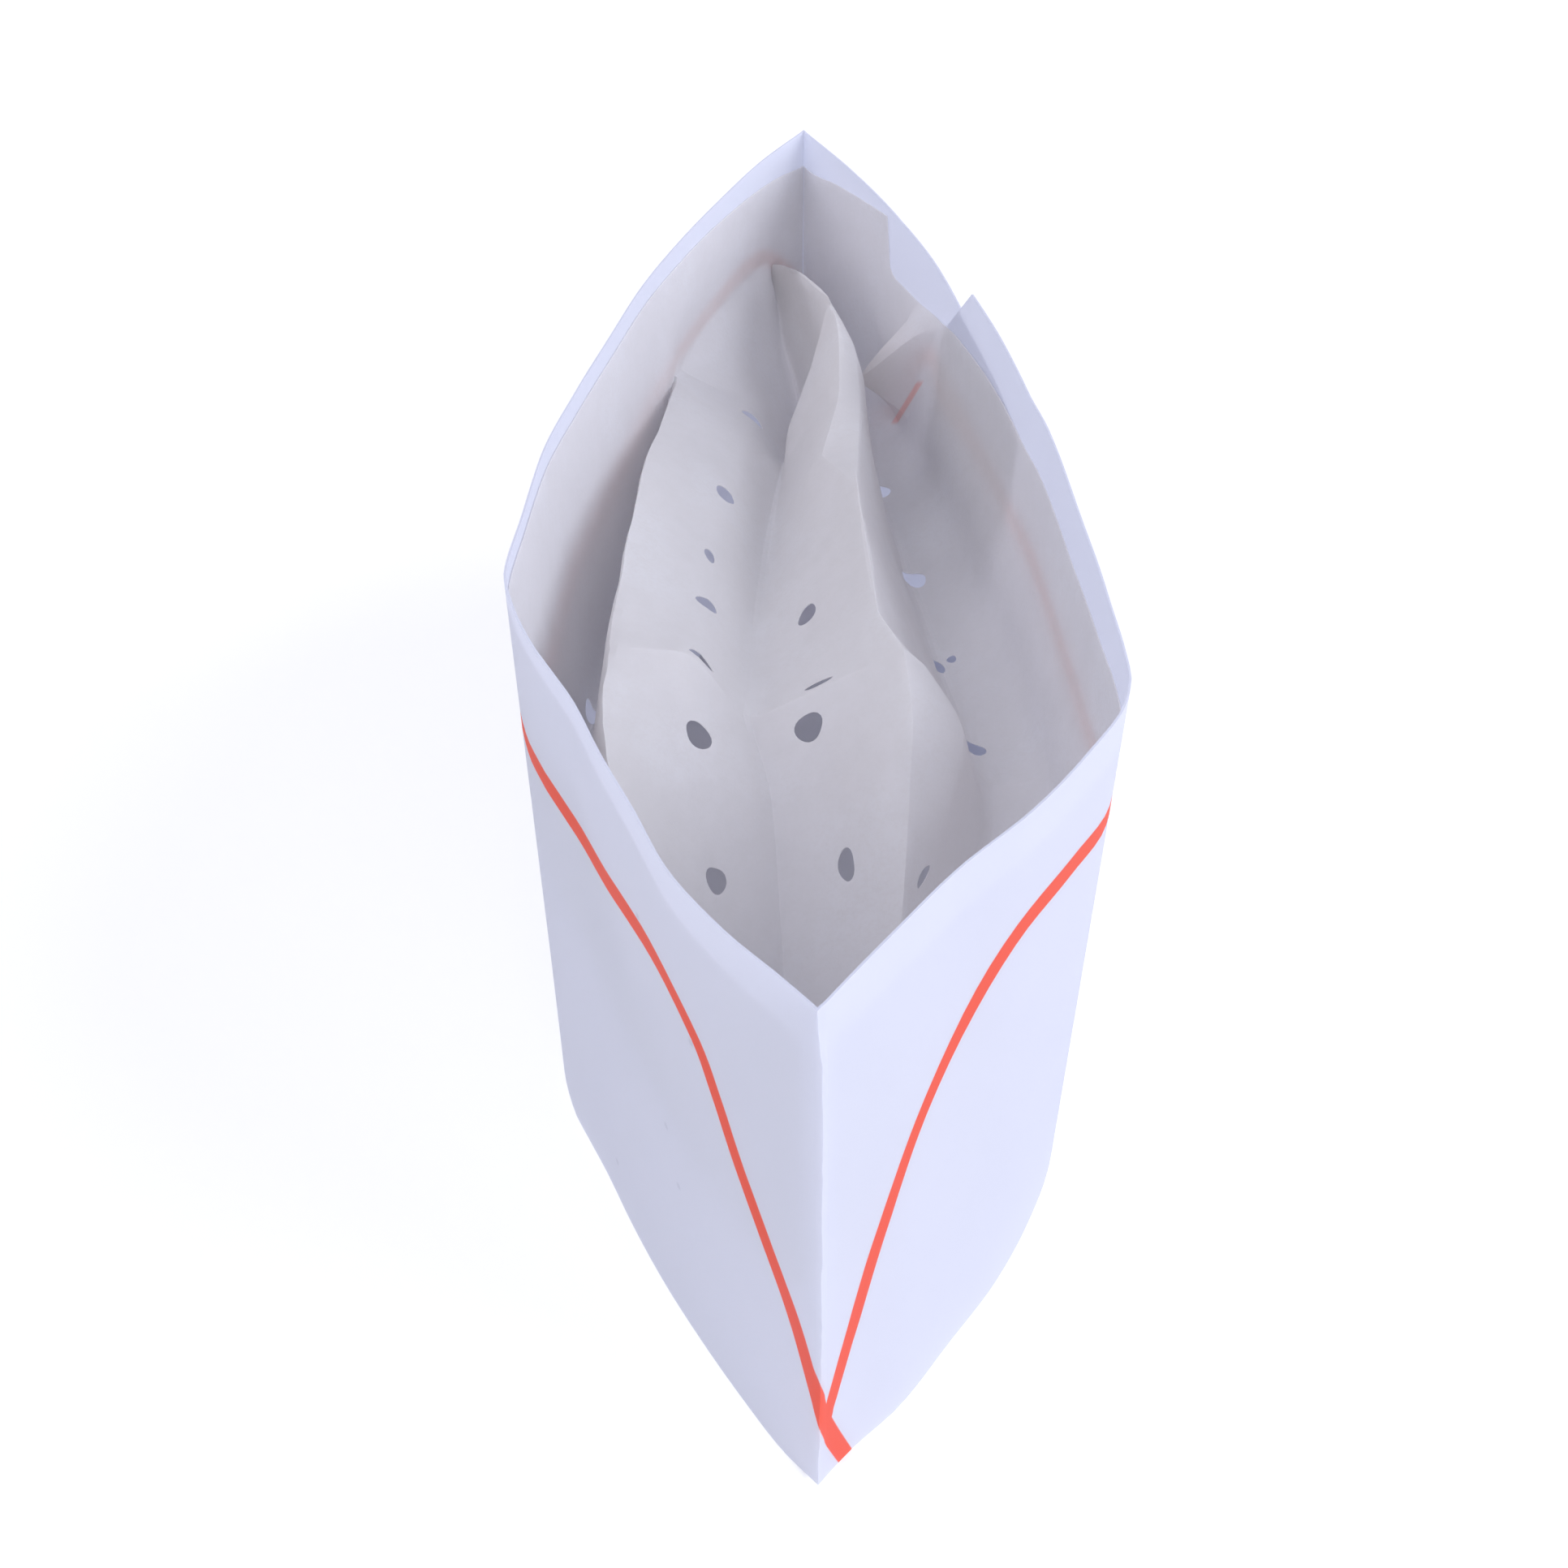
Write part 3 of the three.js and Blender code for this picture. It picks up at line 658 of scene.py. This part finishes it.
class Finish:
    """A material that is put together node by node."""

    def __init__(self, name):
        self.material = bpy.data.materials.new(name)
        self.material.use_nodes = True
        self.tree = self.material.node_tree
        self.tree.nodes.clear()

    def node(self, kind, settings=None, inputs=None, output=0):
        made = self.tree.nodes.new(kind)
        for key, value in (settings or {}).items():
            setattr(made, key, value)
        for key, value in (inputs or {}).items():
            if isinstance(value, Value):
                self.tree.links.new(value.socket, made.inputs[key])
            else:
                made.inputs[key].default_value = value
        return Value(self, made.outputs[output])

    def place(self):
        return self.node("ShaderNodeTexCoord", output="Object")

    def map(self, name):
        return self.node("ShaderNodeUVMap", {"uv_map": name})

    def parts(self, vector):
        """The three numbers of a vector."""
        first = self.node("ShaderNodeSeparateXYZ", {}, {0: vector})
        return [Value(self, socket) for socket in first.socket.node.outputs]

    def metres(self):
        return self.parts(self.place())

    def noise(self, place, size, detail=4.0, roughness=0.55):
        """Cloudy noise from 0 to 1 with blotches of about the given size in millimetres."""
        return self.node("ShaderNodeTexNoise", {}, {
            "Vector": place, "Scale": 1 / (size * MM), "Detail": detail, "Roughness": roughness})

    def mixed(self, factor, first, second):
        return self.node(
            "ShaderNodeMix", {"data_type": "RGBA"}, {0: factor, 6: first, 7: second}, output=2)

    def bump(self, height, distance):
        return self.node("ShaderNodeBump", {}, {
            "Height": height, "Strength": 1.0, "Distance": distance * MM})

    def spot(self, flat, at, radius):
        """1 inside a small round spot of the flat map, 0 outside."""
        centre = (at.along * MM, at.height * MM, 0)
        away = self.node(
            "ShaderNodeVectorMath", {"operation": "DISTANCE"}, {0: flat, 1: centre}, output="Value")
        return 1 - away.between(radius * 0.5 * MM, radius * 1.2 * MM)

    def blend(self, factor, first, second):
        return self.node("ShaderNodeMixShader", {}, {0: factor, 1: first, 2: second})

    def sheet(self, colour, through, roughness, bump, glow):
        """A thin sheet that lets a share of the light through, given as glow."""
        surface = self.node("ShaderNodeBsdfPrincipled", {}, {
            "Base Color": colour, "Roughness": roughness, "Normal": bump, "Specular IOR Level": 0.2})
        behind = self.node("ShaderNodeBsdfTranslucent", {}, {"Color": through, "Normal": bump})
        return self.blend(glow, surface, behind)

    def done(self, shader):
        end = self.tree.nodes.new("ShaderNodeOutputMaterial")
        self.tree.links.new(shader.socket, end.inputs["Surface"])
        return self.material


PRINT_WHITE = (0.81, 0.82, 0.88, 1)
PRINT_CLOUD = (0.83, 0.84, 0.895, 1)
PRINT_SPECK = (0.55, 0.56, 0.61, 1)
BACK_WHITE = (0.92, 0.94, 1.0, 1)
BACK_CLOUD = (0.94, 0.955, 1.0, 1)
PAPER_THROUGH = (0.92, 0.93, 1.0, 1)
PAPER_GLOW = 0.42
INK_RED = (0.98, 0.10, 0.045, 1)
INK_THROUGH = (0.98, 0.55, 0.50, 1)
FLECK_RED = (0.45, 0.05, 0.07, 1)
TISSUE_THIN = (0.93, 0.92, 0.91, 1)
TISSUE_THICK = (0.98, 0.97, 0.965, 1)
TISSUE_FLEECE = (1, 1, 1, 1)
# Painted show-through: the band's red print as seen through the tissue, painted onto the tissue
TISSUE_PAINTED_SHOW_THROUGH = (1.0, 0.55, 0.47, 1)
TISSUE_THROUGH = (0.98, 0.96, 0.95, 1)
TISSUE_GLOW = 0.5
FLOOR_WHITE = (0.85, 0.85, 0.84, 1)
# Floor: FLOOR_WHITE is its own colour; the darker colour under the hat is painted shade, and the glow
# outside the hat is a painted glow
FLOOR_PAINTED_SHADE = (0.75, 0.74, 0.74, 1)
FLOOR_PAINTED_GLOW = (1, 1, 0.985, 1)
NO_PAINTED_GLOW = (0, 0, 0, 1)
COOL_LIGHT = (0.845, 0.872, 1.0)
FRONT_LIGHT = (0.87, 0.88, 1.0)
WARM_LIGHT = (0.93, 0.90, 0.97)

# The red streak painted on the crown, a painted show-through of the band's red print seen through the
# tissue: the direction across it and how far along that it lies, its steepness and the height of its
# middle, and its half width and half length, each from where the red is full to where it is gone.
STREAK_ACROSS = (-0.85, 0.304, 0.431)
STREAK_ASIDE = 34.1
STREAK_STEEPNESS = 0.579
STREAK_MIDDLE = 113.1
STREAK_WIDTH = (0.35, 0.75)
STREAK_LENGTH = (4.2, 5.6)


def paper_white(finish, first, second):
    """A paper colour, very faintly clouded, and the grain of its surface."""
    place = finish.place()
    cloud = finish.noise(place, 11, detail=3)
    grain = finish.noise(place, 0.45, detail=3)
    return finish.mixed(cloud, first, second), finish.bump(grain, 0.015)


def printed_paper():
    """The outer side: white paper with the printed line and a few specks."""
    finish = Finish("printed_paper")
    white, bump = paper_white(finish, PRINT_WHITE, PRINT_CLOUD)
    flat = finish.map("flat")
    specks = sum(finish.spot(flat, at, 0.75) for at in SPECKS)
    white = finish.mixed(specks * 0.5, white, PRINT_SPECK)
    own, others, _ = finish.parts(finish.map("ink"))
    inked = 1 - own.size().smaller(others.size()).between(0.93, 1.07)
    paper = finish.sheet(white, PAPER_THROUGH, 0.72, bump, PAPER_GLOW)
    ink = finish.sheet(INK_RED, INK_THROUGH, 0.6, bump, 0.3)
    return finish.done(finish.blend(inked, paper, ink))


def paper_back():
    """The inner side: plain white paper with one red fleck."""
    finish = Finish("paper_back")
    white, bump = paper_white(finish, BACK_WHITE, BACK_CLOUD)
    colour = finish.mixed(finish.spot(finish.map("flat"), FLECK, 0.9), white, FLECK_RED)
    return finish.done(finish.sheet(colour, PAPER_THROUGH, 0.75, bump, PAPER_GLOW))


def painted_show_through(finish):
    """1 on a short red streak on the crown's right flap, painted show-through of the band's print behind
    the tissue, 0 elsewhere.
    """
    x, y, z = finish.metres()
    across_x, across_y, across_z = STREAK_ACROSS
    aside = (x * across_x + y * across_y + z * across_z - STREAK_ASIDE * MM).size()
    down = (y * STREAK_STEEPNESS + z - STREAK_MIDDLE * MM).size()
    on_right = x.between(7 * MM, 8 * MM)
    width = 1 - aside.between(*(edge * MM for edge in STREAK_WIDTH))
    length = 1 - down.between(*(edge * MM for edge in STREAK_LENGTH))
    return width * length * on_right


def tissue_finish():
    """Thin tissue, clouded by its fibres, with fleecy patches and the red streak of painted show-through
    of the band's print.
    """
    finish = Finish("tissue")
    place = finish.place()
    cloud = finish.noise(place, 3.2, detail=6, roughness=0.65)
    fibre = finish.noise(place, 0.7, detail=4, roughness=0.7)
    patch = finish.noise(place, 21, detail=2).between(0.48, 0.66)
    shade = (cloud * 0.6 + fibre * 0.4).between(0.34, 0.66)
    fleece = patch * (fibre * 0.7 + cloud * 0.3).between(0.38, 0.62)
    colour = finish.mixed(shade, TISSUE_THIN, TISSUE_THICK)
    colour = finish.mixed(fleece, colour, TISSUE_FLEECE)
    # Painted show-through: the band's red print, seen through the tissue, painted onto it as a streak
    colour = finish.mixed(painted_show_through(finish), colour, TISSUE_PAINTED_SHOW_THROUGH)
    bump = finish.bump(fibre + cloud, 0.03)
    return finish.done(finish.sheet(colour, TISSUE_THROUGH, 0.9, bump, TISSUE_GLOW))


def make_stage():
    """A plain pale floor. Outside the hat it is given a painted glow, though it is no lamp, so that it
    reads white, and under the hat it is painted darker as painted shade.
    """
    bpy.ops.mesh.primitive_plane_add(size=6, location=(0, 0, 0))
    floor = bpy.context.object
    floor.name = "floor"
    finish = Finish("floor")
    x, y, _ = finish.metres()
    half_width = 46
    back = y * (2 / (LENGTH * MM))
    # Painted light: this mask is 1 outside the hat's footprint, where the floor gets a painted glow, and
    # 0 under the hat, where it gets a darker colour as painted shade
    outside = (x.size() * (1 / (half_width * MM)) + back * back).between(0.93, 1.0)
    white = finish.mixed(outside, FLOOR_PAINTED_SHADE, FLOOR_WHITE)
    painted_glow = finish.mixed(outside, NO_PAINTED_GLOW, FLOOR_PAINTED_GLOW)
    surface = finish.node("ShaderNodeBsdfPrincipled", {}, {
        "Base Color": white, "Roughness": 0.9, "Specular IOR Level": 0.0,
        "Emission Color": painted_glow, "Emission Strength": 0.38})
    floor.data.materials.append(finish.done(surface))


def make_lights():
    """Three broad soft lights, low on the right, in front and on the left, and pale light all round."""
    studio = bpy.data.worlds.new("studio")
    studio.use_nodes = True
    background = studio.node_tree.nodes["Background"]
    background.inputs["Color"].default_value = (*COOL_LIGHT, 1)
    background.inputs["Strength"].default_value = 0.48
    bpy.context.scene.world = studio
    for name, energy, towards, tint in (
            ("right light", 2.0, (0.93, -0.1, 0.36), COOL_LIGHT),
            ("front light", 0.62, (0, -0.75, 0.66), FRONT_LIGHT),
            ("left light", 0.64, (-0.6, -0.1, 0.8), WARM_LIGHT)):
        sun = bpy.data.lights.new(name, "SUN")
        sun.energy = energy
        sun.angle = math.radians(60)
        sun.color = tint
        lamp = bpy.data.objects.new(name, sun)
        lamp.rotation_euler = Vector(towards).to_track_quat("Z", "Y").to_euler()
        bpy.context.scene.collection.objects.link(lamp)


def make_camera():
    """The photograph's viewpoint: in front of the hat and above it, looking down by 40 degrees."""
    lens = bpy.data.cameras.new("camera")
    lens.lens = 50
    lens.sensor_width = 36
    camera = bpy.data.objects.new("camera", lens)
    camera.location = (-3.23 * MM, -317.75 * MM, 297.1 * MM)
    camera.rotation_euler = (math.radians(50), 0, 0)
    bpy.context.scene.collection.objects.link(camera)
    bpy.context.scene.camera = camera


make_camera()
make_lights()
make_stage()
bpy.context.scene.view_settings.view_transform = "Standard"

band = make_band(printed_paper(), paper_back())
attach(band, "root")
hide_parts("paper_band")
(STRIP_END - STRIP_START) * MM

crown = make_crown(tissue_finish())
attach(crown, "root")
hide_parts("tissue_crown")
